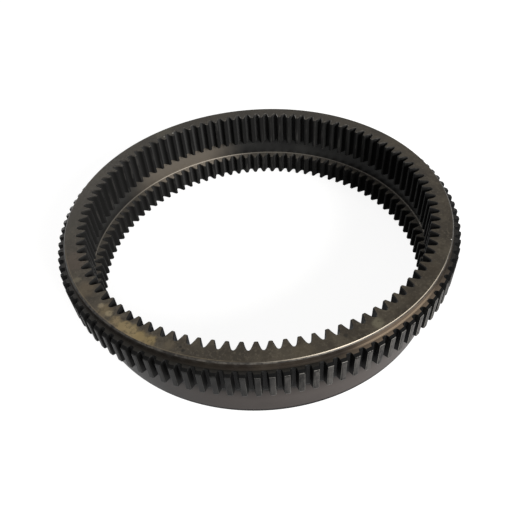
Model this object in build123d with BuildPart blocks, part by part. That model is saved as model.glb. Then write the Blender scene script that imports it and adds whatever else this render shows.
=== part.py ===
"""Internal ring gear of a range change planetary set, in millimetres.

The ring carries two bands of internal involute teeth with a relief groove between them.
Outside, a synchroniser cone rises from the resting face to a row of external dog teeth,
and a plain collar stands above the dog teeth.  The origin is on the axis, in the plane of
the face that the ring rests on, and +Z points up through the collar.
"""
import os
from math import acos, cos, pi, radians, sin, tan

from build123d import *

# Internal gear
module = 2.5
tooth_count = 95
pressure_angle = 20.0
backlash = 0.12
root_chamfer = 0.9  # height of the chamfers at the bottom of a tooth space
root_land = 1.0  # width of the flat between those chamfers
tooth_phase = 0.4  # degrees, from a dog tooth round to the internal tooth beside it

# Heights along the axis, from the resting face up
ring_height = 56.5
lower_band_height = 16.8
groove_width = 13.8
collar_height = 4.9
dog_length = 18.8

# Radial sizes
groove_depth = 1.3  # below the roots of the internal teeth
rim_wall = 10.0  # between the internal roots and the floor between the dog teeth
dog_height = 3.9
collar_ledge = 1.5  # from the dog tooth floor in to the collar
cone_step = 0.3  # from the dog tooth floor in to the head of the cone
cone_half_angle = 9.4

# Dog teeth
dog_count = 110
dog_crest_width = 3.0
dog_floor_width = 2.5  # between two teeth

# Edges
edge_bevel = 0.8  # outer edges of the resting face and of the collar
collar_bevel = 0.9  # in the corner between the collar and the tops of the dog teeth
dog_end_bevel = 0.7  # lower ends of the dog teeth
dog_top_drop = 0.8  # how far the top of a dog tooth falls towards its crest
dog_top_slope = 2.2  # radial width of that slope

# Allowances for cutting
cutter_overrun = 1.0  # of each cutter past the faces and the crests that it cuts through
bore_stock = 1.0  # left inside the tips of the internal teeth on the turned blank

# Derived radii
pitch_radius = module * tooth_count / 2
base_radius = pitch_radius * cos(radians(pressure_angle))
tip_radius = pitch_radius - module
root_radius = pitch_radius + 1.25 * module
groove_radius = root_radius + groove_depth
dog_floor_radius = root_radius + rim_wall
dog_crest_radius = dog_floor_radius + dog_height
collar_radius = dog_floor_radius - collar_ledge
collar_foot_radius = collar_radius + collar_bevel
cone_head_radius = dog_floor_radius - cone_step

# Derived heights
groove_top = lower_band_height + groove_width
shoulder_height = ring_height - collar_height
cone_height = shoulder_height - dog_length
cone_foot_radius = cone_head_radius - cone_height * tan(radians(cone_half_angle))


def polar(radius, angle):
    """Point at a radius and an angle in radians, measured from -Y."""
    return (radius * sin(angle), -radius * cos(angle))


def involute(radius):
    """Involute function of the pressure angle at a radius."""
    angle = acos(base_radius / radius)
    return tan(angle) - angle


def space_half_angle(radius):
    """Half the angle that an internal tooth space takes up at a radius, in radians."""
    at_pitch = (pi * module / 2 + backlash) / (2 * pitch_radius)
    return at_pitch + involute(pitch_radius) - involute(radius)


def around(half_outline, count, start):
    """Closed outline of count equal spaces or teeth, from one half given as (radius, angle)."""
    mirrored = [(radius, -angle) for radius, angle in reversed(half_outline)]
    outline = []
    for index in range(count):
        centre = start + 2 * pi * index / count
        outline += [polar(radius, centre + angle) for radius, angle in mirrored + half_outline]
    return outline


# Internal tooth spaces: the root land, the chamfer and two steps along the involute
flank_radii = (root_radius - root_chamfer, pitch_radius, tip_radius)
space_half = [(root_radius, root_land / 2 / root_radius)]
space_half += [(radius, space_half_angle(radius)) for radius in flank_radii]
internal_outline = around(space_half, tooth_count, radians(tooth_phase) + pi / tooth_count)

# Dog teeth: the crest, and a flank down to the floor
dog_pitch = 2 * pi / dog_count
dog_half = [
    (dog_crest_radius, dog_crest_width / 2 / dog_crest_radius),
    (dog_floor_radius, (dog_pitch - dog_floor_width / dog_floor_radius) / 2),
]
dog_outline = around(dog_half, dog_count, 0)

# Cutter that slopes the top of one dog tooth and bevels its lower end
crest_y = -dog_crest_radius
cutter_y = crest_y - cutter_overrun
cutter_drop = dog_top_drop * (1 + cutter_overrun / dog_top_slope)

with BuildPart() as crest_cutter:
    with BuildSketch(Plane.YZ):
        Polygon(
            (crest_y + dog_top_slope, shoulder_height),
            (cutter_y, shoulder_height),
            (cutter_y, shoulder_height - cutter_drop),
            align=None,
        )
        Polygon(
            (crest_y + dog_end_bevel, cone_height),
            (cutter_y, cone_height),
            (cutter_y, cone_height + dog_end_bevel + cutter_overrun),
            align=None,
        )
    extrude(amount=dog_crest_width, both=True)

with BuildPart() as ring_gear:
    # Turned blank: half section in the XZ plane, turned about the axis
    with BuildSketch(Plane.XZ):
        with BuildLine():
            Polyline(
                (collar_radius, ring_height - edge_bevel),
                (collar_radius - edge_bevel, ring_height),
                (tip_radius - bore_stock, ring_height),
                (tip_radius - bore_stock, 0),
                (cone_foot_radius - edge_bevel, 0),
                (cone_foot_radius + edge_bevel * tan(radians(cone_half_angle)), edge_bevel),
                (cone_head_radius, cone_height),
                (collar_foot_radius, cone_height),
                (collar_foot_radius, shoulder_height),
                (collar_radius, shoulder_height + collar_bevel),
                close=True,
            )
        make_face()
    revolve(axis=Axis.Z)

    # Dog teeth, standing on the blank
    with BuildSketch(Plane.XY.offset(cone_height)):
        with BuildLine():
            Polyline(*dog_outline, close=True)
        make_face()
        Circle(groove_radius, mode=Mode.SUBTRACT)
    extrude(amount=dog_length)
    with PolarLocations(0, dog_count):
        add(crest_cutter.part, mode=Mode.SUBTRACT)

    # Internal teeth, cut through from face to face
    with BuildSketch(Plane.XY.offset(-cutter_overrun)):
        with BuildLine():
            Polyline(*internal_outline, close=True)
        make_face()
    extrude(amount=ring_height + 2 * cutter_overrun, mode=Mode.SUBTRACT)

    # Relief groove that parts the teeth into two bands
    with BuildSketch(Plane.XY.offset(lower_band_height)):
        Circle(groove_radius)
    extrude(amount=groove_width, mode=Mode.SUBTRACT)

ring_gear.part.label = "ring_gear"

os.makedirs("parts", exist_ok=True)
export_step(ring_gear.part, "parts/ring_gear.step")
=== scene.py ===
# %% [markdown]
# # An internal ring gear
# The real part is one forged and machined steel ring. Its inner teeth mesh with planet
# gears, its outer teeth catch a sliding sleeve, and the cone below them works against a
# friction ring. This notebook dresses it: it gives the plain CAD shape its fine edges, its
# surfaces and its light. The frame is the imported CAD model. Every piece made here sits in
# the same place and at the same size, in metres, so nothing has to be fitted by eye. The
# first cell loads the frame and measures the one CAD node, which the finished ring has to
# fill and may not outgrow.

# %% Load the frame
from math import acos, cos, pi, radians, sin, tan

import bpy
from mathutils import Matrix, Vector


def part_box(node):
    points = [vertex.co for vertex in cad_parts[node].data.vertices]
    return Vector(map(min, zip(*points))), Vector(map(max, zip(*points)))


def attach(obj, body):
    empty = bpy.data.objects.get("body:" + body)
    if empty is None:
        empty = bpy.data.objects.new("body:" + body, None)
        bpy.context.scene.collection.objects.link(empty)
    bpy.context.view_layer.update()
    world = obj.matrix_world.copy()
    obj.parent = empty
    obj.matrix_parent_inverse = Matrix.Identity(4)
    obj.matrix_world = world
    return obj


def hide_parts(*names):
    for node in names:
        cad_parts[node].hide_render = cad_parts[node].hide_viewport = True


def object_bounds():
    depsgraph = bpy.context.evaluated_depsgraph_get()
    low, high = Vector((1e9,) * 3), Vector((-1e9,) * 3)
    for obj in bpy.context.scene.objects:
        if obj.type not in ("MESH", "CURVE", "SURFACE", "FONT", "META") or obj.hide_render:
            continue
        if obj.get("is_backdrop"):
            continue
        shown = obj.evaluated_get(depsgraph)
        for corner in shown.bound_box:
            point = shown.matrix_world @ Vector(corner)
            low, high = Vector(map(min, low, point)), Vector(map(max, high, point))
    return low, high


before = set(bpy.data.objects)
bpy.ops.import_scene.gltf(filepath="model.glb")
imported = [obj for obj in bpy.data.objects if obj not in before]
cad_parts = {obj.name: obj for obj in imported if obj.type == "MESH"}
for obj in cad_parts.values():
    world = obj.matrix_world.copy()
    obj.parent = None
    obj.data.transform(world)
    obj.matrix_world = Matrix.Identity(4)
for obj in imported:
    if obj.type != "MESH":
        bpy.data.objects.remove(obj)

cad_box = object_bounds()
low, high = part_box("ring_gear")
print("ring gear in the frame, mm:", [round(1000 * side, 2) for side in high - low])

# %% [markdown]
# ## Sizes
# Scene and CAD share their sizes. A gear is ruled by few numbers: the module, which is the
# pitch diameter divided by the number of teeth, fixes where the teeth are and how tall they
# stand. The heights of the bands, the cone and the collar are turned sizes of their own.

# %% Sizes of the ring, in metres
mm = 0.001
module = 2.5 * mm
tooth_count = 95
pressure_angle = radians(20)
backlash = 0.12 * mm
seam_steps = 2090  # points around a seam circle
phase_in_steps = 2.5  # how far the inner teeth are turned against the dog teeth
tooth_phase = phase_in_steps * 2 * pi / seam_steps

ring_height = high.z
lower_band_height = 16.8 * mm
groove_width = 13.8 * mm
collar_height = 4.9 * mm
dog_length = 18.8 * mm
groove_top = lower_band_height + groove_width
shoulder_height = ring_height - collar_height
cone_height = shoulder_height - dog_length

print("heights of the bands, mm:", [round(1000 * value, 1) for value in (
    lower_band_height, groove_top, cone_height, shoulder_height, ring_height)])

# %% [markdown]
# ## Radii
# Every radius follows from the pitch circle. A tooth stands one module inside it and is cut
# a little more than one module into the rim, so that the mating tooth's tip has room. The
# rim, the dog teeth, the ledge and the cone are then measured outwards from the roots.

# %% Radii, in metres
tooth_depth_below_pitch = 1.25  # in modules
groove_depth = 1.3 * mm
rim_wall = 10.0 * mm
dog_height = 3.88 * mm
collar_ledge = 1.5 * mm
cone_step = 0.3 * mm
cone_half_angle = radians(9.4)

pitch_radius = module * tooth_count / 2
base_radius = pitch_radius * cos(pressure_angle)
tip_radius = pitch_radius - module
root_radius = pitch_radius + tooth_depth_below_pitch * module
groove_radius = root_radius + groove_depth
dog_floor_radius = root_radius + rim_wall
dog_crest_radius = dog_floor_radius + dog_height
collar_radius = dog_floor_radius - collar_ledge
cone_head_radius = dog_floor_radius - cone_step
cone_slope = tan(cone_half_angle)
cone_foot_radius = cone_head_radius - cone_height * cone_slope

dog_count = 110
dog_crest_width = 3.0 * mm
dog_floor_width = 2.5 * mm
edge_bevel = 0.8 * mm
print("pitch circle, mm:", round(2000 * pitch_radius, 2))
print("cone foot radius, mm:", round(1000 * cone_foot_radius, 2))

# %% [markdown]
# ## One internal tooth space in plan
# The flank of a gear tooth is an involute, the path of the end of a string unwound from the
# base circle. Its half angle at any radius has a closed formula, so the outline can be
# written down instead of drawn. The corners at the tip and the root are rounded with a
# short curve that is pulled towards the sharp corner, as a hob and long wear leave them.


# %% Outline helpers
def plan(radius, angle):
    """Plan point at a radius and an angle from -Y, where the ring faces the viewer."""
    return Vector((radius * sin(angle), -radius * cos(angle)))


def rounded(start, corner, end, steps):
    """Points of a smooth corner, from start towards the sharp corner and on to end."""
    points = []
    for step in range(steps + 1):
        t = step / steps
        points.append(start * (1 - t) ** 2 + corner * (2 * t * (1 - t)) + end * t ** 2)
    return points


def between(start, end, steps):
    """Points that divide a straight run, without its two ends."""
    return [start.lerp(end, step / steps) for step in range(1, steps)]


def mirrored(half):
    """The mirror image of a half outline, in the order that carries the outline on."""
    return [Vector((-point.x, point.y)) for point in reversed(half)]


def involute(radius):
    """How far round the involute has moved at a radius, from its start on the base circle."""
    angle = acos(base_radius / radius)
    return tan(angle) - angle


def space_half_angle(radius):
    """Half the angle that a tooth space takes up at a radius."""
    at_pitch = (pi * module / 2 + backlash) / (2 * pitch_radius)
    return at_pitch + involute(pitch_radius) - involute(radius)


print("half a tooth space at the pitch circle, degrees:",
      round(space_half_angle(pitch_radius) * 180 / pi, 3))

# %% [markdown]
# ## The outline of one tooth space
# On the real ring a shaping cutter works its way down the bore and leaves every space with
# the same outline. The points run from the middle of one tooth tip over the flank and the
# rounded root to the middle of the next tip. Only one half is worked out and the other is
# its mirror image, so both flanks are sure to match.

# %% One internal tooth space
tooth_pitch = 2 * pi / tooth_count
tip_round = 0.55 * mm
root_round = 1.1 * mm
root_land = 0.2 * mm
root_narrowing = 0.92  # draws the root corner inwards, which makes the round fuller

tip_corner_angle = space_half_angle(tip_radius)
land_end = tip_corner_angle + tip_round / tip_radius
flank_top = tip_radius + tip_round
flank_foot = root_radius - root_round
tip_corner = rounded(plan(tip_radius, land_end), plan(tip_radius, tip_corner_angle),
                     plan(flank_top, space_half_angle(flank_top)), 2)
flank = []
for step in (1, 2, 3):
    radius = flank_top + (flank_foot - flank_top) * step / 4
    flank.append(plan(radius, space_half_angle(radius)))
root_corner = rounded(plan(flank_foot, space_half_angle(flank_foot)),
                      plan(root_radius, space_half_angle(root_radius) * root_narrowing),
                      plan(root_radius, root_land / 2 / root_radius), 3)
space_right = [plan(tip_radius, tooth_pitch / 2)] + tip_corner + flank + root_corner
space_left = [Vector((-point.x, point.y)) for point in space_right]
space_outline = space_left + [plan(root_radius, 0)] + space_right[::-1]
print("points around one tooth space:", len(space_outline))

# %% [markdown]
# ## One dog tooth in plan
# The dog teeth lock the ring to a sliding sleeve. Each has a plain flat crest and straight
# flanks, and stands on the floor between the teeth with a small round in the corner.

# %% One dog tooth
dog_pitch = 2 * pi / dog_count
crest_round = 0.45 * mm
floor_round = 0.7 * mm
crest_half = dog_crest_width / 2 / dog_crest_radius
floor_half = dog_floor_width / 2 / dog_floor_radius

crest_corner = plan(dog_crest_radius, -crest_half)
floor_corner = plan(dog_floor_radius, floor_half - dog_pitch / 2)
flank_run = (crest_corner - floor_corner).normalized()
floor_end = plan(dog_floor_radius, floor_half - dog_pitch / 2 - floor_round / dog_floor_radius)
floor_curve = rounded(floor_end, floor_corner, floor_corner + flank_run * floor_round, 2)
crest_start = plan(dog_crest_radius, -crest_half + crest_round / dog_crest_radius)
crest_curve = rounded(crest_corner - flank_run * crest_round, crest_corner, crest_start, 2)
floor_middle = plan(dog_floor_radius, -dog_pitch / 2)
dog_left = [floor_middle] + between(floor_middle, floor_end, 2) + floor_curve
dog_left += between(floor_curve[-1], crest_curve[0], 2) + crest_curve
dog_left += [plan(dog_crest_radius, -crest_half / 4)]
dog_outline = dog_left + mirrored(dog_left)
print("points around one dog tooth:", len(dog_outline))

# %% [markdown]
# ## How a sector is made of rows
# A sector is one pitch of the ring. Its outline is repeated at many heights, and each pair of
# neighbouring rows is joined by a strip of four-sided faces. A row at the end of a toothed
# band is the same outline moved a little into the metal, which breaks the sharp edge. Other
# rows are plain arcs. Inner and outer sectors meet on two seam circles. There a full turn
# has 2090 points, which 95 teeth share as 22 each and 110 dog teeth as 19 each, so both
# halves of the ring close on each other exactly.


# %% Rows
def shifted(outline, distance):
    """The outline moved away from the axis by a distance, along its own normals."""
    count = len(outline)
    result = []
    for index, point in enumerate(outline):
        run = outline[min(index + 1, count - 1)] - outline[max(index - 1, 0)]
        if index in (0, count - 1):
            normal = point.normalized()
        else:
            normal = Vector((run.y, -run.x)).normalized()
        result.append(point + normal * distance)
    return result


def level(outline, height):
    """The outline as points at one height."""
    return [Vector((point.x, point.y, height)) for point in outline]


def arc(count, pitch, radius, height):
    """A row of count points on a circle, one pitch long and centred on -Y."""
    angles = [pitch * (index / (count - 1) - 0.5) for index in range(count)]
    return level([plan(radius, angle) for angle in angles], height)


def sector(name, rows, zones):
    """A mesh of strips between rows; zones gives the finish of each strip."""
    width = len(rows[0])
    points = [point for row in rows for point in row]
    faces, finish = [], []
    for strip in range(len(rows) - 1):
        for column in range(width - 1):
            here = strip * width + column
            faces.append((here, here + 1, here + width + 1, here + width))
            finish.append(zones[strip])
    mesh = bpy.data.meshes.new(name)
    mesh.from_pydata(points, [], faces)
    mesh.attributes.new("zone", "INT", "FACE").data.foreach_set("value", finish)
    piece = bpy.data.objects.new(name, mesh)
    bpy.context.scene.collection.objects.link(piece)
    print(name, "rows:", len(rows), "faces:", len(faces))
    return piece


# %% [markdown]
# ## The inner half
# From the inside the ring shows a toothed band, a smooth groove where the cutter runs out,
# and a second toothed band. The rows go down from the top face to the resting face. A row
# that is moved half a millimetre into the metal breaks the edge at each end of a band, as
# a deburring brush does.

# %% The inner sector, from the top face down both toothed bands
TURNED, FLANK, EDGE, GROOVE, DOG, CONE, COLLAR = range(7)
top_seam = 126.0 * mm
bottom_seam = 123.9 * mm
tooth_break = 0.5 * mm
groove_corner = 0.6 * mm


def inner_arc(radius, height):
    return arc(len(space_outline), tooth_pitch, radius, height)


broken = shifted(space_outline, tooth_break)
inner_rows = [
    (inner_arc(top_seam, ring_height), TURNED),
    (level(broken, ring_height), EDGE),
    (level(space_outline, ring_height - tooth_break), FLANK),
    (level(space_outline, groove_top + tooth_break), EDGE),
    (level(broken, groove_top), GROOVE),
    (inner_arc(groove_radius - groove_corner, groove_top), GROOVE),
    (inner_arc(groove_radius, groove_top - groove_corner), GROOVE),
    (inner_arc(groove_radius, lower_band_height + groove_corner), GROOVE),
    (inner_arc(groove_radius - groove_corner, lower_band_height), GROOVE),
    (level(broken, lower_band_height), EDGE),
    (level(space_outline, lower_band_height - tooth_break), FLANK),
    (level(space_outline, tooth_break), EDGE),
    (level(broken, 0), TURNED),
    (inner_arc(bottom_seam, 0), TURNED),
]
inner_sector = sector("inner_sector", [row for row, zone in inner_rows],
                      [zone for row, zone in inner_rows])

# %% [markdown]
# ## The outer half
# The outside starts at the resting face with the friction cone. Above it the dog teeth
# begin with rounded lower ends, run straight up and end in a slope that helps the sleeve
# to slide on. A ledge and the collar close the profile. A hob cuts these teeth first and
# a turning tool makes the slope and the collar after it.

# %% Helpers for the outer sector
collar_round = 0.9 * mm
ledge_break = 0.25 * mm
slope_length, slope_drop = 2.2 * mm, 0.8 * mm
slope_start = dog_crest_radius - slope_length
slope_rate = slope_drop / slope_length
end_round = 1.2 * mm
part_round = 0.3  # the share of a round at which its middle row lies


def outer_arc(radius, height):
    return arc(len(dog_outline), dog_pitch, radius, height)


def held(outline, least, most):
    """The outline with no point nearer to the axis than least or farther than most."""
    return [point.normalized() * min(max(point.length, least), most) for point in outline]


def sloped(outline):
    """The top of the dog teeth, which falls towards the crest."""
    drop = [max(point.length - slope_start, 0) * slope_rate for point in outline]
    return [Vector((p.x, p.y, shoulder_height - ledge_break - d)) for p, d in zip(outline, drop)]


print("the dog teeth slope down from the radius, mm:", round(1000 * slope_start, 1))

# %% [markdown]
# ## The rows of the outer half
# A dog tooth ends at the cone in a round. Two rows with a smaller outline stand for it, held
# between the cone and the crest so that neither of them can stick out. The other rows follow
# the turned profile upwards from the resting face to the top face.

# %% The rows of the outer sector
dog_end = held(shifted(dog_outline, -end_round), cone_head_radius, dog_crest_radius)
dog_end_middle = held(shifted(dog_outline, -end_round * part_round),
                      cone_head_radius, dog_crest_radius)
end_start = end_round * part_round
corner_middle = collar_round * part_round
outer_rows = [
    (outer_arc(bottom_seam, 0), TURNED),
    (outer_arc(cone_foot_radius - edge_bevel, 0), TURNED),
    (outer_arc(cone_foot_radius + edge_bevel * cone_slope, edge_bevel), CONE),
    (outer_arc(cone_head_radius - end_start * cone_slope, cone_height - end_start), DOG),
    (level(dog_end, cone_height), DOG),
    (level(dog_end_middle, cone_height + end_start), DOG),
    (level(dog_outline, cone_height + end_round), DOG),
    (sloped(dog_outline), DOG),
    (level(held(shifted(dog_outline, -ledge_break), 0, slope_start), shoulder_height), TURNED),
    (outer_arc(collar_radius + collar_round, shoulder_height), COLLAR),
    (outer_arc(collar_radius + corner_middle, shoulder_height + corner_middle), COLLAR),
    (outer_arc(collar_radius, shoulder_height + collar_round), COLLAR),
    (outer_arc(collar_radius, ring_height - edge_bevel), EDGE),
    (outer_arc(collar_radius - edge_bevel, ring_height), TURNED),
    (outer_arc(top_seam, ring_height), TURNED),
]
outer_sector = sector("outer_sector", [row for row, zone in outer_rows],
                      [zone for row, zone in outer_rows])

# %% [markdown]
# ## The whole ring with Geometry Nodes
# The tree repeats each sector around the axis, gives every tooth its own share of wear from
# a fixed seed, welds the sectors and sets the finishes. The number of teeth is an input of
# the tree, and the pitch of a sector comes from the same value, so the two always fit.
# Instances are realised before the materials are set, because only real geometry is
# exported.


# %% Node helpers
def add_node(tree, kind, inputs=None, **settings):
    """A node with its settings, and its inputs as values or as sockets to link from."""
    node = tree.nodes.new(kind)
    for key, value in settings.items():
        setattr(node, key, value)
    for key, value in (inputs or {}).items():
        if isinstance(value, bpy.types.NodeSocket):
            tree.links.new(value, node.inputs[key])
        else:
            node.inputs[key].default_value = value
    return node


def sums(tree, operation, *values):
    """The result of a Math node."""
    return add_node(tree, "ShaderNodeMath", dict(enumerate(values)), operation=operation).outputs[0]


def new_tree(name, inputs):
    """A Geometry Nodes tree with named inputs, its input node and its output node."""
    tree = bpy.data.node_groups.new(name, "GeometryNodeTree")
    identifiers = {}
    for label, kind in inputs:
        socket = tree.interface.new_socket(label, in_out="INPUT", socket_type=kind)
        identifiers[label] = socket.identifier
    tree.interface.new_socket("Geometry", in_out="OUTPUT", socket_type="NodeSocketGeometry")
    return tree, tree.nodes.new("NodeGroupInput"), tree.nodes.new("NodeGroupOutput"), identifiers


print("helpers ready:", [helper.__name__ for helper in (add_node, sums, new_tree)])

# %% [markdown]
# ## Around the axis
# A gear is the same tooth many times over. One point per tooth carries a copy of the
# sector, turned by its share of the full circle. Each copy also gets a random number from
# a fixed seed, which the finish of the dog teeth uses as wear, so that no two are alike
# and yet every run gives the same ring.

# %% The tree that repeats a sector around the axis
around_tree, given, result, _ = new_tree("Around the axis", [
    ("Sector", "NodeSocketObject"), ("Count", "NodeSocketInt"),
    ("Phase", "NodeSocketFloat"), ("Seed", "NodeSocketInt")])
points = add_node(around_tree, "GeometryNodePoints", {"Count": given.outputs["Count"]})
index = add_node(around_tree, "GeometryNodeInputIndex").outputs[0]
step_angle = sums(around_tree, "DIVIDE", 2 * pi, given.outputs["Count"])
turn = sums(around_tree, "MULTIPLY_ADD", index, step_angle, given.outputs["Phase"])
rotation = add_node(around_tree, "ShaderNodeCombineXYZ", {"Z": turn})
info = add_node(around_tree, "GeometryNodeObjectInfo", {"Object": given.outputs["Sector"]})
placed = add_node(around_tree, "GeometryNodeInstanceOnPoints", {
    "Points": points.outputs[0], "Instance": info.outputs["Geometry"],
    "Rotation": rotation.outputs[0]})
chance = add_node(around_tree, "FunctionNodeRandomValue", {"Seed": given.outputs["Seed"]},
                  data_type="FLOAT")
worn = add_node(around_tree, "GeometryNodeStoreNamedAttribute", {
    "Geometry": placed.outputs[0], "Name": "tooth_wear", "Value": chance.outputs[1]},
    domain="INSTANCE", data_type="FLOAT")
real = add_node(around_tree, "GeometryNodeRealizeInstances", {"Geometry": worn.outputs[0]})
around_tree.links.new(real.outputs[0], result.inputs[0])
print("nodes in", around_tree.name, len(around_tree.nodes))

# %% [markdown]
# ## What the finishes need to know
# The ring is hardened steel with a dark phosphate coat and a film of oil. Turned faces keep
# fine rings from the lathe, tooth flanks are almost black, and the crests that rub on other
# parts have lost their coat and show grey steel. All patterns are worked out from the place
# of each point: its distance from the axis, its height and its direction from the centre.


# %% Where a point lies, and noise
def place(tree):
    """Sockets for the point itself, its distance from the axis, its angle and its height."""
    coordinates = add_node(tree, "ShaderNodeTexCoord").outputs["Object"]
    parts = add_node(tree, "ShaderNodeSeparateXYZ", {0: coordinates})
    x, y, z = parts.outputs
    radius = sums(tree, "SQRT", sums(tree, "MULTIPLY_ADD", x, x, sums(tree, "MULTIPLY", y, y)))
    angle = sums(tree, "ARCTAN2", y, x)
    return coordinates, radius, angle, z


def noise(tree, vector, scale, detail, roughness, dimensions="3D"):
    """A noise pattern over a vector, or along one value when it has one dimension."""
    inputs = {"Scale": scale, "Detail": detail, "Roughness": roughness}
    inputs["W" if dimensions == "1D" else "Vector"] = vector
    return add_node(tree, "ShaderNodeTexNoise", inputs, noise_dimensions=dimensions).outputs[0]


print("ready:", place.__name__, noise.__name__)

# %% [markdown]
# ## Masks and paint
# A mask is a number from 0 to 1 that says where something shows. Real wear has no hard
# border, so a ramp rises smoothly. Paint is then laid over a colour through its mask, in the
# order in which the ring got its coat, its oil and its dirt.


# %% Masks and paint
def ramp(tree, value, start, end):
    """0 below start, 1 above end, with a smooth rise between."""
    rise = add_node(tree, "ShaderNodeMapRange", {
        "Value": value, "From Min": start, "From Max": end}, interpolation_type="SMOOTHSTEP")
    return rise.outputs[0]


def varied(tree, pattern, swing, least):
    """A value that follows a pattern, from least up to least and swing together."""
    return sums(tree, "MULTIPLY_ADD", pattern, swing, least)


def tint(tree, amount, first, second):
    """A colour that goes from first to second as amount goes from 0 to 1."""
    node = add_node(tree, "ShaderNodeMix", data_type="RGBA")
    factor, colour_a, colour_b = node.inputs[0], node.inputs[6], node.inputs[7]
    for socket, value in ((factor, amount), (colour_a, first), (colour_b, second)):
        if isinstance(value, bpy.types.NodeSocket):
            tree.links.new(value, socket)
        else:
            socket.default_value = value if isinstance(value, float) else (*value, 1.0)
    return node.outputs[2]


def cover(tree, colour, mask, strength, paint):
    """The colour with a paint laid over it where the mask is 1, at a strength."""
    return tint(tree, sums(tree, "MULTIPLY", mask, strength), colour, paint)


print("ready:", [tool.__name__ for tool in (ramp, varied, tint, cover)])

# %% [markdown]
# ## Spots and bands
# Most marks sit at one place on the ring: so many degrees from the front, counted towards
# the right, at a radius and a height. A patch is a soft spot there, and noise makes its
# border ragged. A band is a strip between two values, such as two radii.


# %% Spots and bands
def patch(tree, point, degrees_round, radius, height, reach, ragged):
    """1 in a soft ragged spot of that reach around a place on the ring, 0 outside it."""
    centre = plan(radius, radians(degrees_round))
    away = add_node(tree, "ShaderNodeVectorMath", {
        0: point, 1: (centre.x, centre.y, height)}, operation="DISTANCE")
    torn = noise(tree, point, 1.2 / reach, 4.0, 0.65)
    shift = sums(tree, "SUBTRACT", torn, 0.5)
    distance = sums(tree, "MULTIPLY_ADD", shift, -2 * ragged * reach, away.outputs["Value"])
    full_within = reach * 0.35
    return ramp(tree, distance, reach, full_within)


def band(tree, value, start, end, soft):
    """1 between start and end, with soft sides."""
    rise = ramp(tree, value, start - soft, start + soft)
    fall = ramp(tree, value, end + soft, end - soft)
    return sums(tree, "MULTIPLY", rise, fall)


print("ready:", patch.__name__, band.__name__)

# %% [markdown]
# ## A new finish
# Each finish is a material with one Principled shader. The coat is dull, so the metallic and
# specular values stay low, and the turning marks are a bump that costs no geometry.


# %% A new finish
def finish(name, metallic, specular):
    """A new material with a Principled shader, and its tree."""
    material = bpy.data.materials.new(name)
    material.use_nodes = True
    tree = material.node_tree
    shader = tree.nodes["Principled BSDF"]
    shader.inputs["Metallic"].default_value = metallic
    shader.inputs["Specular IOR Level"].default_value = specular
    return material, tree, shader


def turning_marks(tree, pattern, strength):
    """A bump of a tenth of a millimetre at full strength, from a pattern of fine rings."""
    bump = add_node(tree, "ShaderNodeBump", {
        "Strength": strength, "Distance": 0.1 * mm, "Height": pattern})
    return bump.outputs[0]


def put(tree, shader, **sockets):
    """Links sockets to the shader's inputs, named with underscores for spaces."""
    for key, value in sockets.items():
        tree.links.new(value, shader.inputs[key.replace("_", " ")])


print("ready:", [tool.__name__ for tool in (finish, turning_marks, put)])

# %% [markdown]
# ## Turned steel
# The top face, the ledge and the resting face come from the lathe. The tool leaves fine
# rings that only show as a change of gloss, so they are a shallow bump that depends on the
# distance from the axis. The phosphate coat is uneven, which the clouds and specks give.

# %% Turned faces: the top face, the ledge and the resting face
turned_steel, tree, shader = finish("turned_steel", 0.1, 0.1)
point, radius, angle, height = place(tree)
lathe = noise(tree, sums(tree, "MULTIPLY_ADD", height, 3.1, radius), 2600.0, 2.0, 0.6, "1D")
cloud = noise(tree, point, 45.0, 5.0, 0.65)
speck = noise(tree, point, 700.0, 3.0, 0.7)
dark_coat, pale_coat = (0.025, 0.021, 0.016), (0.054, 0.046, 0.034)
bare_speck = (0.090, 0.078, 0.058)
colour = tint(tree, ramp(tree, cloud, 0.35, 0.68), dark_coat, pale_coat)
colour = cover(tree, colour, ramp(tree, speck, 0.50, 0.72), 0.55, bare_speck)
print("turned steel, base nodes:", len(tree.nodes))
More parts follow.
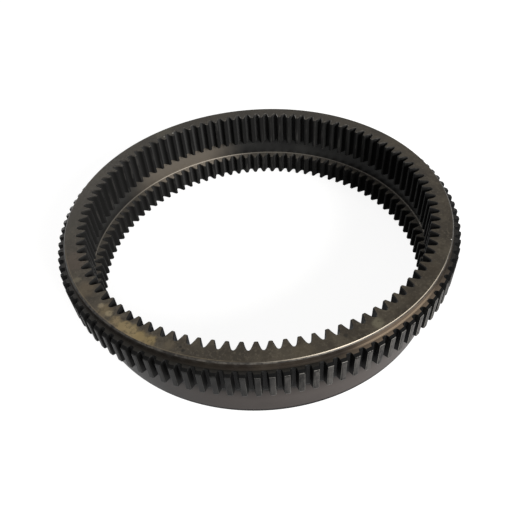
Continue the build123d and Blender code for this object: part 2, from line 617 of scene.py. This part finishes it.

# %% [markdown]
# ## Stains and marks
# Dried oil has left a golden stain on the top face, and handling has left small dark spots, pale
# rubs and a scratch or two. Three tiny white spots among them are painted glints, and a wide dark
# spot at the left is painted shade. Each mark is a soft ragged spot at a place on the ring. A table
# holds them, because a list of places is easier to read and to change than nodes.

# %% Stains, rubs and marks on the top face, with painted glints and painted shade
marks = (
    # degrees from the front, radius in mm, reach in mm, colour, strength
    (-57, 126.0, 9.0, (0.085, 0.066, 0.042), 0.60),
    (-47, 125.5, 6.5, (0.120, 0.092, 0.052), 0.65),
    (-42, 126.0, 4.5, (0.170, 0.130, 0.072), 0.75),
    (-39, 126.6, 5.5, (0.200, 0.152, 0.078), 0.75),
    (-36, 127.0, 6.0, (0.215, 0.165, 0.085), 0.75),
    (-33, 127.2, 5.5, (0.200, 0.150, 0.070), 0.72),
    (-30, 127.2, 5.0, (0.190, 0.142, 0.066), 0.68),
    (-49, 124.6, 2.6, (0.200, 0.165, 0.110), 0.55),
    (-45, 125.2, 2.8, (0.230, 0.190, 0.120), 0.55),
    (-25, 125.5, 4.5, (0.080, 0.066, 0.044), 0.55),
    (-70, 125.0, 12.0, (0.054, 0.040, 0.030), 0.60),
    # painted shade: a wide dark spot darkens the left side of the top face
    (-92, 125.0, 26.0, (0.016, 0.014, 0.011), 0.55),
    (52, 124.0, 9.0, (0.030, 0.024, 0.017), 0.60),
    (40, 127.5, 7.0, (0.026, 0.021, 0.015), 0.50),
    (8, 126.5, 8.0, (0.070, 0.058, 0.040), 0.45),
    (28, 126.0, 5.0, (0.110, 0.100, 0.070), 0.70),
    (215, 125.5, 11.0, (0.120, 0.110, 0.080), 0.60),
    (-21, 126.5, 1.6, (0.008, 0.007, 0.006), 0.90),
    (-22, 124.8, 1.2, (0.008, 0.007, 0.006), 0.80),
    (19, 124.4, 1.8, (0.012, 0.011, 0.009), 0.80),
    (-62, 127.0, 3.0, (0.110, 0.095, 0.065), 0.60),
    # painted glints: three tiny bright spots stand for light glinting on the top face
    (66, 129.3, 0.6, (0.600, 0.580, 0.540), 1.00),
    (212, 119.6, 0.9, (0.900, 0.880, 0.820), 1.00),
    (216, 119.6, 0.8, (0.800, 0.780, 0.720), 1.00),
)
for degrees_round, mark_radius, reach, mark_colour, strength in marks:
    spot = patch(tree, point, degrees_round, mark_radius * mm, ring_height, reach * mm, 0.55)
    colour = cover(tree, colour, spot, strength, mark_colour)
print("marks on the top face:", len(marks))

# %% [markdown]
# ## Grain, a scratch and shade
# A fine dark grain breaks up the stain and the coat. One long scratch follows the rim at the left.
# The far side of the top face is painted darker as shade, and the ledge and the resting face are
# darker. Only at the right of the front does the ledge carry a warm painted highlight. The edge
# that stands on the floor is painted black as its contact shadow. All of this is laid over the
# colour that the cells above have made.

# %% Grain, a scratch, the dark far side and the ledge
grain = noise(tree, point, 330.0, 5.0, 0.7)
colour = cover(tree, colour, ramp(tree, grain, 0.50, 0.66), 0.5, (0.024, 0.019, 0.013))
scratch = sums(tree, "MULTIPLY", band(tree, radius, 128.9 * mm, 129.15 * mm, 0.08 * mm),
               band(tree, angle, radians(-166), radians(-98), radians(4)))
colour = cover(tree, colour, scratch, 0.7, (0.13, 0.105, 0.070))
# Painted shade: the far side of the top face is painted darker.
far_shade = patch(tree, point, 195, dog_floor_radius, ring_height, 230 * mm, 0.0)
colour = cover(tree, colour, far_shade, 0.60, (0.014, 0.012, 0.009))
# Painted contact shadow: the lowest edge that stands on the floor is painted black.
foot = ramp(tree, height, 1.2 * mm, 0.9 * mm)
foot_shadow_black = (0.003, 0.003, 0.003)
colour = tint(tree, foot, colour, foot_shadow_black)
# Painted highlight: the ledge at the right of the front is painted a warm tone where it catches the
# light.
ledge_highlight = patch(tree, point, 36, dog_floor_radius, shoulder_height, 60 * mm, 0.1)
low_part = ramp(tree, height, ring_height - 2 * mm, shoulder_height)
# The ledge and the resting face are painted darker.
low_face_dark, warm_highlight = (0.0095, 0.0090, 0.0080), (0.100, 0.078, 0.058)
colour = cover(tree, colour, low_part, 0.92, low_face_dark)
colour = cover(tree, colour, ledge_highlight, low_part, warm_highlight)
rough = varied(tree, cloud, 0.25, 0.35)
rings = turning_marks(tree, lathe, 0.12)
put(tree, shader, Base_Color=colour, Roughness=rough, Normal=rings)
print("turned steel, all nodes:", len(tree.nodes))

# %% [markdown]
# ## The collar
# The collar is the low wall between the ledge and the top face. It is painted dark at the left as
# shade, and at the right of the front it carries a warm painted highlight, strongest in its lower
# corner.

# %% The collar: painted shade at the left, a painted highlight at the right of the front
collar_steel, tree, shader = finish("collar_steel", 0.1, 0.08)
point, _, _, height = place(tree)
cloud = noise(tree, point, 60.0, 4.0, 0.6)
# Painted shade: the left of the collar is painted nearly black.
collar_left_shade = patch(tree, point, -35, collar_radius, ring_height, 75 * mm, 0.15)
# Painted highlight: a warm tone at the right of the front, strongest in the lower corner.
right_highlight = patch(tree, point, 34, collar_radius, ring_height, 42 * mm, 0.15)
dark_coat, pale_coat = (0.014, 0.011, 0.009), (0.026, 0.021, 0.016)
collar_shade_black, warm_highlight = (0.006, 0.005, 0.004), (0.120, 0.092, 0.068)
corner_highlight = (0.165, 0.128, 0.092)
colour = tint(tree, ramp(tree, cloud, 0.3, 0.7), dark_coat, pale_coat)
colour = cover(tree, colour, collar_left_shade, 0.85, collar_shade_black)
colour = cover(tree, colour, right_highlight, 0.6, warm_highlight)
inner_corner = ramp(tree, height, shoulder_height + 0.8 * mm, shoulder_height + 0.4 * mm)
colour = cover(tree, colour, inner_corner, right_highlight, corner_highlight)
put(tree, shader, Base_Color=colour, Roughness=varied(tree, cloud, 0.2, 0.4))
print("collar nodes:", len(tree.nodes))

# %% [markdown]
# ## Tooth flanks
# Oil and phosphate make the flanks nearly black, and a black surface in a narrow space sends
# almost no light back. Only the tips have rubbed on the planet gears, which leaves pale
# streaks along the height of the ring. The roots of the far side catch more light.

# %% Tooth flanks: nearly black, with a lighter rubbed line near the tips
tooth_steel, tree, shader = finish("tooth_steel", 0.0, 0.01)
point, radius, _, _ = place(tree)
stretched = add_node(tree, "ShaderNodeMapping", {0: point, 3: (1.0, 1.0, 0.15)})
streak = noise(tree, stretched.outputs[0], 420.0, 3.0, 0.6)
deep = ramp(tree, radius, tip_radius + 1.5 * mm, root_radius)
# Painted light: the roots deep in the spaces on the far side are painted a lighter grey.
far_side = patch(tree, point, 170, tip_radius, ring_height, 230 * mm, 0.0)
black_coat, lit_root_grey = (0.011, 0.011, 0.011), (0.034, 0.034, 0.034)
rubbed_steel = (0.045, 0.044, 0.042)
colour = tint(tree, sums(tree, "MULTIPLY", deep, far_side), black_coat, lit_root_grey)
pale_streak = ramp(tree, streak, 0.5, 0.7)
near_tip = ramp(tree, radius, tip_radius + 1.0 * mm, tip_radius)
rubbed = sums(tree, "MULTIPLY", pale_streak, near_tip)
colour = cover(tree, colour, rubbed, 0.6, rubbed_steel)
put(tree, shader, Base_Color=colour, Roughness=varied(tree, streak, 0.2, 0.35))
print("tooth flank nodes:", len(tree.nodes))

# %% [markdown]
# ## Broken edges
# An edge is where a coat goes first, so the edges are chipped. A thin line along the rim of the
# collar is painted bright at the front, a painted highlight where it catches the light. The edges
# of the near inner teeth face away from the light and are painted black as shade.

# %% Broken edges of the teeth and the collar
edge_steel, tree, shader = finish("edge_steel", 0.2, 0.15)
point, radius, _, height = place(tree)
chips = noise(tree, point, 300.0, 3.0, 0.6)
rim = ramp(tree, radius, collar_radius - 2 * mm, collar_radius - 1 * mm)
upper = ramp(tree, height, ring_height - 0.42 * mm, ring_height - 0.22 * mm)
# Painted highlight: the rim of the collar is painted bright at the right of the front.
bright = patch(tree, point, 30, collar_radius, ring_height, 85 * mm, 0.1)
# Painted shade: the edges on the near side are painted near black.
far_side = patch(tree, point, 180, tip_radius, ring_height, 190 * mm, 0.0)
outside = sums(tree, "MAXIMUM", far_side, rim)
coated, chipped = (0.014, 0.013, 0.012), (0.060, 0.055, 0.048)
near_black, rim_highlight = (0.004, 0.004, 0.004), (0.34, 0.30, 0.24)
colour = tint(tree, ramp(tree, chips, 0.35, 0.65), coated, chipped)
colour = tint(tree, outside, near_black, colour)
shine = sums(tree, "MULTIPLY", upper, sums(tree, "MULTIPLY", rim, bright))
colour = tint(tree, shine, colour, rim_highlight)
put(tree, shader, Base_Color=colour, Roughness=varied(tree, chips, 0.2, 0.35))
print("edge nodes:", len(tree.nodes))

# %% [markdown]
# ## The relief groove
# The groove between the toothed bands lets the shaping cutter run out. It is turned and touches
# nothing, so it stays smooth. A warm painted reflection lies on part of the far side, and the lower
# lip carries a fine painted highlight line, brightest there.

# %% The relief groove: smooth, with a warm painted reflection on the far side
groove_steel, tree, shader = finish("groove_steel", 0.3, 0.1)
point, _, _, height = place(tree)
lathe = noise(tree, height, 2200.0, 2.0, 0.6, "1D")
cloud = noise(tree, point, 30.0, 4.0, 0.6)
# Painted reflection: a warm patch on the far wall of the groove.
far_wall_reflection = patch(tree, point, 211, groove_radius, groove_top, 64 * mm, 0.25)
dark_coat, pale_coat = (0.011, 0.011, 0.011), (0.024, 0.024, 0.023)
warm_highlight, lip_highlight = (0.105, 0.092, 0.076), (0.30, 0.27, 0.23)
colour = tint(tree, ramp(tree, cloud, 0.35, 0.7), dark_coat, pale_coat)
colour = tint(tree, far_wall_reflection, colour, warm_highlight)
# Painted highlight: a bright line along the lower lip, brightest on the far side.
near_lip = ramp(tree, height, lower_band_height + 0.7 * mm, lower_band_height + 0.3 * mm)
lip_shine = patch(tree, point, 205, groove_radius, lower_band_height, 62 * mm, 0.1)
lip = sums(tree, "MULTIPLY", near_lip, varied(tree, lip_shine, 0.65, 0.30))
colour = tint(tree, lip, colour, lip_highlight)
rings = turning_marks(tree, lathe, 0.15)
rough = varied(tree, cloud, 0.2, 0.3)
put(tree, shader, Base_Color=colour, Roughness=rough, Normal=rings)
print("groove nodes:", len(tree.nodes))

# %% [markdown]
# ## Dog teeth
# The sleeve slides over the crests and wears them to grey steel, most of all along their
# corners, while the flanks and the floors between the teeth keep their black coat. The
# The random number of each tooth shifts its wear, and noise drawn out along the height smears it in
# the direction in which the sleeve moves. On the lit side at the right of the front, the crests and
# their corners are painted lighter, a painted highlight over the wear.

# %% Dog teeth: grey rubbed crests with corners that carry a painted highlight on the lit side, over black flanks
dog_steel, tree, shader = finish("dog_steel", 0.1, 0.05)
point, radius, _, height = place(tree)
wear = add_node(tree, "ShaderNodeAttribute", attribute_name="tooth_wear").outputs["Fac"]
stretched = add_node(tree, "ShaderNodeMapping", {0: point, 3: (1.0, 1.0, 0.35)})
smear = noise(tree, stretched.outputs[0], 380.0, 4.0, 0.7)
crest = ramp(tree, radius, dog_crest_radius - 0.14 * mm, dog_crest_radius - 0.04 * mm)
corner = band(tree, radius, dog_crest_radius - 0.42 * mm, dog_crest_radius - 0.16 * mm, 0.05 * mm)
# Painted highlight: lit_side makes the crests and corners lighter at the right of the front.
lit_side = patch(tree, point, 26, dog_crest_radius, cone_height, 90 * mm, 0.05)
level_wear = sums(tree, "MULTIPLY_ADD", wear, 0.4, ramp(tree, smear, 0.3, 0.75))
worn_and_lit_colour = tint(tree, lit_side, (0.018, 0.018, 0.018), (0.058, 0.055, 0.052))
corner_wear_and_highlight = tint(tree, lit_side, (0.040, 0.040, 0.039), (0.330, 0.320, 0.300))
black_coat = (0.004, 0.004, 0.004)
colour = tint(tree, sums(tree, "MULTIPLY", crest, level_wear), black_coat, worn_and_lit_colour)
corner_wear = sums(tree, "MULTIPLY", corner, varied(tree, smear, 0.9, 0.15))
colour = tint(tree, corner_wear, colour, corner_wear_and_highlight)
print("dog teeth, nodes for the wear:", len(tree.nodes))

# %% [markdown]
# ## Dents and a lump on the dog teeth
# The sleeve knocks against the upper ends of the teeth and leaves dark dents in them. One
# lump of dirt sits between two teeth near the front.

# %% Dents and a lump of dirt
upper_end = ramp(tree, height, shoulder_height - 2.6 * mm, shoulder_height - 1.2 * mm)
dent = sums(tree, "MULTIPLY", upper_end, ramp(tree, smear, 0.50, 0.60))
dent_black, dirt_black = (0.003, 0.003, 0.003), (0.002, 0.002, 0.002)
colour = cover(tree, colour, dent, 0.85, dent_black)
lump = patch(tree, point, -11.0, dog_crest_radius - 1.5 * mm, 46.0 * mm, 2.4 * mm, 0.5)
colour = tint(tree, lump, colour, dirt_black)
put(tree, shader, Base_Color=colour, Roughness=varied(tree, smear, 0.25, 0.3))
print("dog teeth, all nodes:", len(tree.nodes))

# %% [markdown]
# ## The friction cone
# The cone is ground after hardening and is the most even surface of the ring. Its grinding marks
# run around it, so they depend on the height alone. Painted shade darkens its upper part under the
# dog teeth and its left side, and the lowest few millimetres are painted black as the contact
# shadow on the floor.

# %% The friction cone: ground, even and a little warmer, with painted shade below the dog teeth
cone_steel, tree, shader = finish("cone_steel", 0.05, 0.015)
point, _, _, height = place(tree)
ground = noise(tree, height, 1500.0, 2.0, 0.6, "1D")
cloud = noise(tree, point, 22.0, 4.0, 0.55)
dark_ground, pale_ground = (0.040, 0.0340, 0.0320), (0.055, 0.0475, 0.0445)
colour = tint(tree, ramp(tree, cloud, 0.3, 0.7), dark_ground, pale_ground)
under_teeth_shade_brown, shade_black = (0.012, 0.010, 0.009), (0.008, 0.008, 0.008)
cone_foot_shadow = (0.002, 0.002, 0.002)
# Painted shade: the upper part of the cone under the dog teeth is painted darker.
under_teeth_shade = ramp(tree, height, cone_height - 15 * mm, cone_height)
colour = cover(tree, colour, under_teeth_shade, 0.62, under_teeth_shade_brown)
left_shade = patch(tree, point, -50, cone_foot_radius, 0, 75 * mm, 0.05)
colour = cover(tree, colour, left_shade, 0.85, shade_black)
# Painted contact shadow: the lowest few millimetres are painted near black.
foot = ramp(tree, height, 3.8 * mm, 2.6 * mm)
colour = cover(tree, colour, foot, 0.95, cone_foot_shadow)
rings = turning_marks(tree, ground, 0.08)
rough = varied(tree, cloud, 0.15, 0.3)
put(tree, shader, Base_Color=colour, Roughness=rough, Normal=rings)
print("cone nodes:", len(tree.nodes))

# %% [markdown]
# ## The list of finishes
# Every face of a sector carries the number of its zone. The finishes stand in a list in
# the same order, so the number of a zone is also the place of its finish.

# %% Finishes in the order of the zones
finishes = [turned_steel, tooth_steel, edge_steel, groove_steel,
            dog_steel, cone_steel, collar_steel]
print("finishes:", [material.name for material in finishes])

# %% [markdown]
# ## Weld the ring
# The real ring is one piece of steel, so its model has to be one closed skin. The second
# tree joins the two halves, welds their shared points, and keeps corners sharp and curves
# smooth by the angle between faces.

# %% The tree that welds the ring
ring_tree, given, result, sockets = new_tree("Ring gear", [
    ("Base", "NodeSocketGeometry"),
    ("Inner sector", "NodeSocketObject"), ("Teeth", "NodeSocketInt"),
    ("Tooth phase", "NodeSocketFloat"),
    ("Outer sector", "NodeSocketObject"), ("Dog teeth", "NodeSocketInt"),
    ("Weld distance", "NodeSocketFloat"), ("Sharp angle", "NodeSocketFloat"),
    ("Seed", "NodeSocketInt")])
inner = add_node(ring_tree, "GeometryNodeGroup", node_tree=around_tree)
outer = add_node(ring_tree, "GeometryNodeGroup", node_tree=around_tree)
for group, labels in ((inner, ("Inner sector", "Teeth", "Tooth phase", "Seed")),
                      (outer, ("Outer sector", "Dog teeth", None, "Seed"))):
    for socket, label in zip(group.inputs, labels):
        if label:
            ring_tree.links.new(given.outputs[label], socket)
joined = add_node(ring_tree, "GeometryNodeJoinGeometry")
for group in (inner, outer):
    ring_tree.links.new(group.outputs[0], joined.inputs[0])
real = add_node(ring_tree, "GeometryNodeRealizeInstances", {"Geometry": joined.outputs[0]})
welded = add_node(ring_tree, "GeometryNodeMergeByDistance", {
    "Geometry": real.outputs[0], "Distance": given.outputs["Weld distance"]})
fold = add_node(ring_tree, "GeometryNodeInputMeshEdgeAngle").outputs[0]
soft = add_node(ring_tree, "FunctionNodeCompare", {0: fold, 1: given.outputs["Sharp angle"]},
                data_type="FLOAT", operation="LESS_THAN")
shaded = add_node(ring_tree, "GeometryNodeSetShadeSmooth", {
    "Geometry": welded.outputs[0], "Shade Smooth": soft.outputs[0]}, domain="EDGE")
print("nodes that weld the ring:", len(ring_tree.nodes))

# %% [markdown]
# ## Dress the zones
# The number that each face carries picks its finish. One comparison and one Set Material
# node for each zone do it, and they come last, because a material is only kept on real
# geometry.

# %% One finish for each zone
zone = add_node(ring_tree, "GeometryNodeInputNamedAttribute", {"Name": "zone"}, data_type="INT")
dressed = shaded.outputs[0]
for number, material in enumerate(finishes):
    chosen = add_node(ring_tree, "FunctionNodeCompare", {2: zone.outputs[0], 3: number},
                      data_type="INT", operation="EQUAL")
    dressed = add_node(ring_tree, "GeometryNodeSetMaterial", {
        "Geometry": dressed, "Selection": chosen.outputs[0], "Material": material}).outputs[0]
ring_tree.links.new(dressed, result.inputs[0])
print("nodes in", ring_tree.name, len(ring_tree.nodes))

# %% [markdown]
# ## From nodes to a mesh
# The tree runs once on an empty base object. Its result is kept as a plain mesh and the
# modifier is taken away, because the frame takes real geometry only. The seed and every
# size go in through named inputs.

# %% Run the tree and keep its result as a plain mesh
base = bpy.data.objects.new("ring_base", bpy.data.meshes.new("ring_base"))
bpy.context.scene.collection.objects.link(base)
modifier = base.modifiers.new("Ring gear", "NODES")
modifier.node_group = ring_tree
settings = {
    "Inner sector": inner_sector, "Teeth": tooth_count,
    "Tooth phase": tooth_phase + tooth_pitch / 2,
    "Outer sector": outer_sector, "Dog teeth": dog_count, "Weld distance": 0.01 * mm,
    "Sharp angle": radians(28), "Seed": 7}
for label, value in settings.items():
    modifier[sockets[label]] = value
evaluated = base.evaluated_get(bpy.context.evaluated_depsgraph_get())
mesh = bpy.data.meshes.new_from_object(evaluated)
base.modifiers.remove(modifier)
for used in (base, inner_sector, outer_sector):
    bpy.data.objects.remove(used)
mesh.name = "ring"
ring = bpy.data.objects.new("ring", mesh)
bpy.context.scene.collection.objects.link(ring)
mesh.calc_loop_triangles()
print("ring triangles:", len(mesh.loop_triangles), "points:", len(mesh.vertices))

# %% [markdown]
# ## Is the ring closed?
# A solid part has no open edge, and its faces all look outwards. Both are easy to test:
# every edge has exactly two faces, and the volume comes out positive.

# %% Check that the ring is closed and faces outwards
import bmesh

check = bmesh.new()
check.from_mesh(mesh)
print("open edges:", sum(not edge.is_manifold for edge in check.edges))
print("volume, cubic centimetres:", round(check.calc_volume(signed=True) * 1e6, 1))
check.free()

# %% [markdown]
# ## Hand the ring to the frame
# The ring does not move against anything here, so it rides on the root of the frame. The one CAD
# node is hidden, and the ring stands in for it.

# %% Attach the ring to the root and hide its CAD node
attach(ring, "root")
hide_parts("ring_gear")
print("bound:", ring.name, "to the node ring_gear")

# %% [markdown]
# ## Camera
# The camera looks down at the ring at about 45 degrees from close by, so the near teeth look
# larger than the far ones. Its distance is given in tip radii, which keeps the view when the
# ring grows or shrinks. A small roll tips the ring as if the camera was held by hand.

# %% Camera
unit = tip_radius
swing = radians(-0.5)
away, up = 2.36271 * unit, 2.36273 * unit
yaw, pitch, roll = radians(-0.0901), radians(44.9562), radians(-4.6199)
lens_length, sensor_width = 34.965, 36.0
turn = Matrix.Rotation(swing, 3, "Z")
forward = turn @ Vector((sin(yaw) * cos(pitch), cos(yaw) * cos(pitch), -sin(pitch)))
right = forward.cross(Vector((0, 0, 1))).normalized()
above = right.cross(forward)
rolled_right = cos(roll) * right + sin(roll) * above
rolled_above = cos(roll) * above - sin(roll) * right
axes = Matrix((rolled_right, rolled_above, -forward)).transposed().to_4x4()
camera_data = bpy.data.cameras.new("camera")
camera_data.sensor_width = sensor_width
camera_data.lens = lens_length
camera_data.clip_start = 0.01
camera = bpy.data.objects.new("camera", camera_data)
camera.matrix_world = Matrix.Translation(turn @ Vector((0, -away, up))) @ axes
bpy.context.scene.collection.objects.link(camera)
bpy.context.scene.camera = camera
print("camera, mm from the ring's foot:", [round(1000 * value) for value in camera.location])

# %% [markdown]
# ## Floor
# The ring lies on a sheet of white paper. The floor is white to rays that come from the
# camera or a mirror-like surface, and much darker to the rays that light the ring, so the
# background stays white while the ring keeps its dark tones.

# %% Floor
floor_mesh = bpy.data.meshes.new("floor")
half = 3.0
corners = [(-half, -half, 0), (half, -half, 0), (half, half, 0), (-half, half, 0)]
floor_mesh.from_pydata(corners, [], [(0, 1, 2, 3)])
floor = bpy.data.objects.new("floor", floor_mesh)
bpy.context.scene.collection.objects.link(floor)
floor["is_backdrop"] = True


def seen(tree):
    """1 for rays that show the background: from the camera, a mirror or glass."""
    path = add_node(tree, "ShaderNodeLightPath")
    both = sums(tree, "MAXIMUM", path.outputs["Is Camera Ray"], path.outputs["Is Glossy Ray"])
    return sums(tree, "MAXIMUM", both, path.outputs["Is Transmission Ray"])


pale_floor, tree, shader = finish("pale_floor", 0.0, 0.0)
shader.inputs["Base Color"].default_value = (0.25, 0.25, 0.25, 1)
shader.inputs["Roughness"].default_value = 1.0
shader.inputs["Emission Color"].default_value = (1, 1, 1, 1)
put(tree, shader, Emission_Strength=sums(tree, "MULTIPLY", seen(tree), 0.86))
floor_mesh.materials.append(pale_floor)
print("floor width, m:", 2 * half)

# %% [markdown]
# ## World
# The world follows the same rule as the floor. What it sends onto the ring is a weak even
# light from all sides, like that of a room with pale walls.

# %% World
world = bpy.data.worlds.new("world")
world.use_nodes = True
bpy.context.scene.world = world
tree = world.node_tree
backdrop = tree.nodes["Background"]
level_of_light = sums(tree, "MULTIPLY_ADD", seen(tree), 0.82, 0.18)
put(tree, backdrop, Strength=level_of_light)
backdrop.inputs["Color"].default_value = (1, 1, 1, 1)
print("world nodes:", len(tree.nodes))

# %% [markdown]
# ## Light
# A broad lamp stands like a window to the right of the viewer and gives the bright crests
# and the soft shadow. A weak lamp above opens up the inside, and another one behind keeps
# the back of the ring readable when it is turned around.


# %% Lamps
def lamp(name, position, size, watts, colour):
    """A square lamp at a position, turned towards the middle of the ring."""
    data = bpy.data.lights.new(name, "AREA")
    data.size = size
    data.energy = watts
    data.color = colour
    light = bpy.data.objects.new(name, data)
    light.location = position
    light.rotation_euler = (-Vector(position)).to_track_quat("-Z", "Y").to_euler()
    bpy.context.scene.collection.objects.link(light)
    return light


lamp("window", (0.85, -1.15, 0.68), 0.6, 42.0, (1.0, 0.98, 0.95))
lamp("room", (-0.3, 0.3, 1.4), 1.0, 6.0, (1.0, 0.99, 0.97))
lamp("back", (-1.0, 1.4, 0.35), 0.8, 10.0, (1.0, 0.99, 0.97))
bpy.context.scene.view_settings.view_transform = "Standard"
print("lamps:", [light.name for light in bpy.data.lights])

# %% [markdown]
# ## Sizes, and the end
# The dressed ring has to fill the box of the CAD ring and stay inside it. Both boxes are written
# down for comparison.

# %% Sizes, and the end
dressed_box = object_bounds()
for label, box in (("CAD", cad_box), ("visual", dressed_box)):
    print(label, "box, mm:", [[round(1000 * side, 2) for side in corner] for corner in box])
